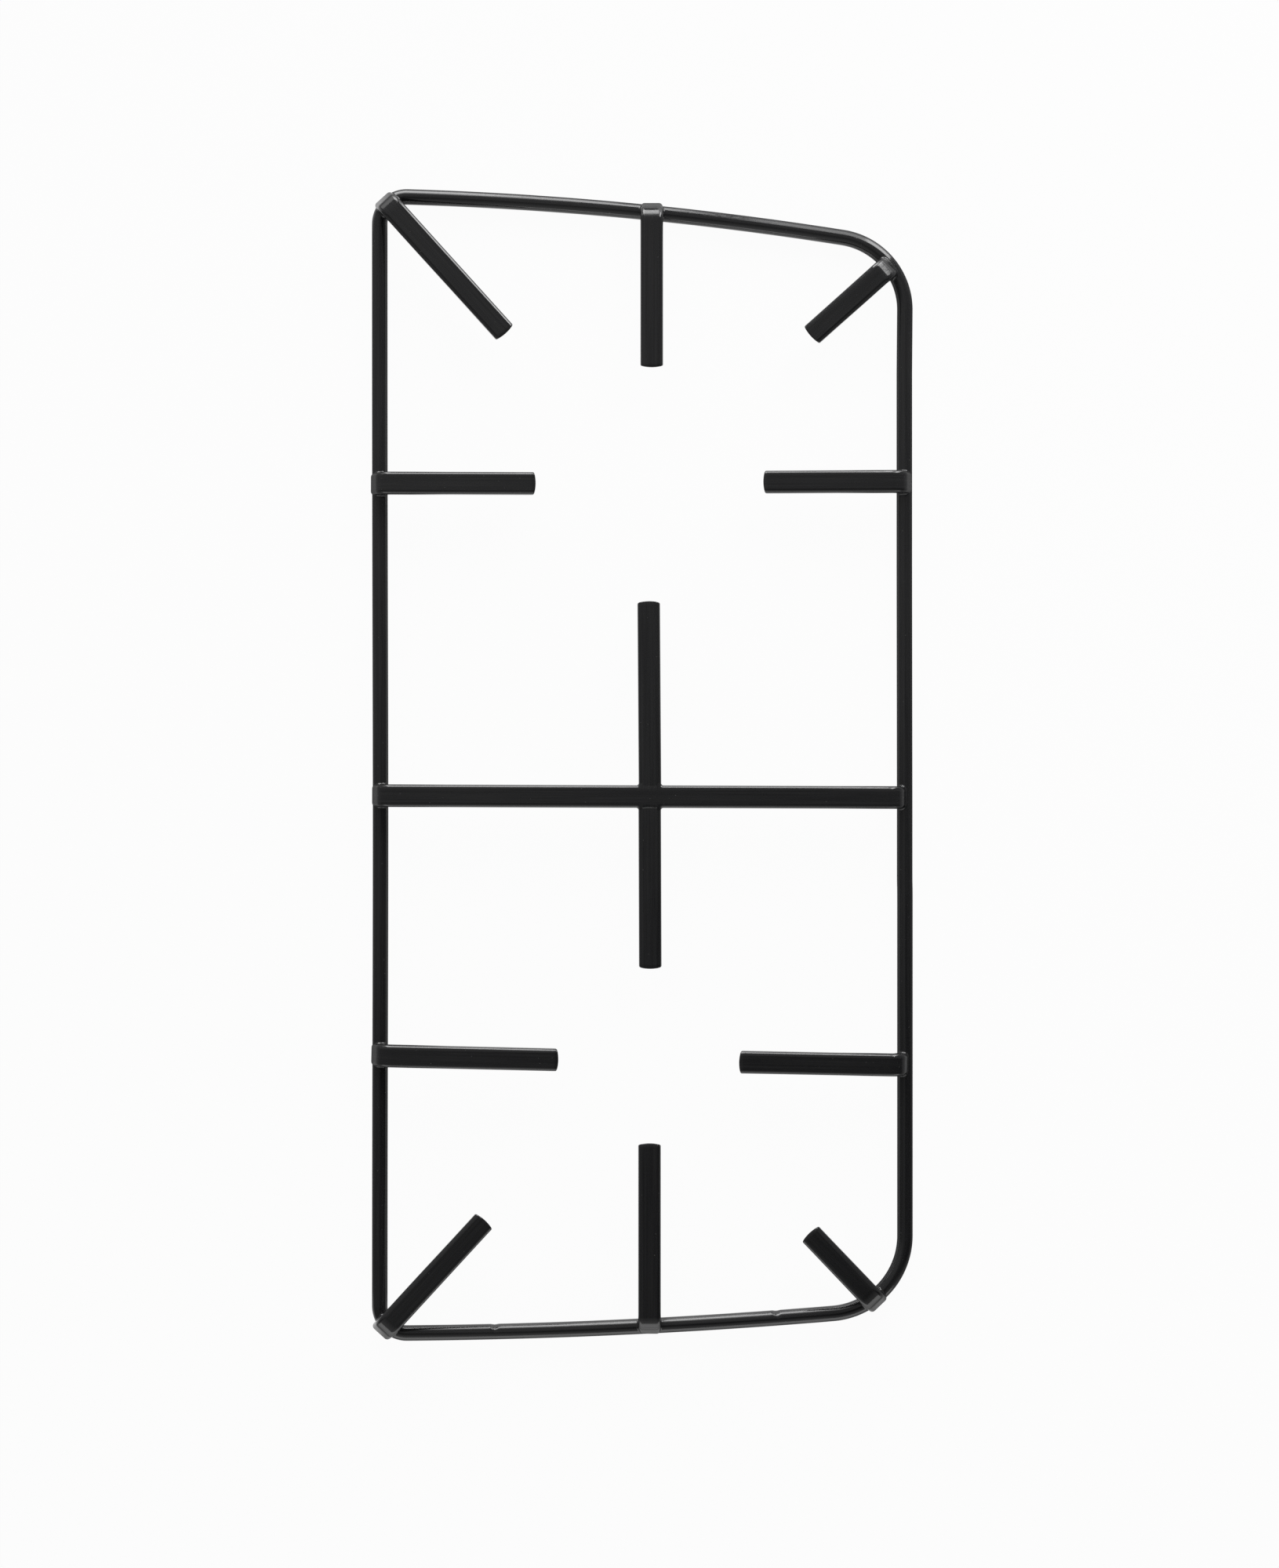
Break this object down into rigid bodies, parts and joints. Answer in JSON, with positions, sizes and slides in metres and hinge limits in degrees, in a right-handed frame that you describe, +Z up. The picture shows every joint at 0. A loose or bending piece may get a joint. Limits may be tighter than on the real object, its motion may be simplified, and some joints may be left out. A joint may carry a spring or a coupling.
{
  "type": "hob pan support",
  "caption": "Enamelled pan support for a gas hob: a bowed ring of round wire carrying a cross bar and flat-bar fingers that stop short of the burners.",
  "frame": {"origin": "middle of the ring's outline, on the plane that the wire lies on", "axes": "+X to the right of the support as it lies on the hob, +Y to the rear, +Z up through the pan plane"},
  "size_m": [0.2211, 0.47, 0.0144],
  "materials": {
    "black_enamel": "gloss black vitreous enamel over mild steel"
  },
  "bodies": {
    "root": {"wire_ring": "black_enamel", "cross_bar": "black_enamel", "rear_middle_finger": "black_enamel", "front_middle_finger": "black_enamel", "rear_end_finger": "black_enamel", "front_end_finger": "black_enamel", "rear_left_side_finger": "black_enamel", "rear_right_side_finger": "black_enamel", "front_left_side_finger": "black_enamel", "front_right_side_finger": "black_enamel", "rear_left_corner_finger": "black_enamel", "rear_right_corner_finger": "black_enamel", "front_left_corner_finger": "black_enamel", "front_right_corner_finger": "black_enamel"}
  },
  "joints": []
}
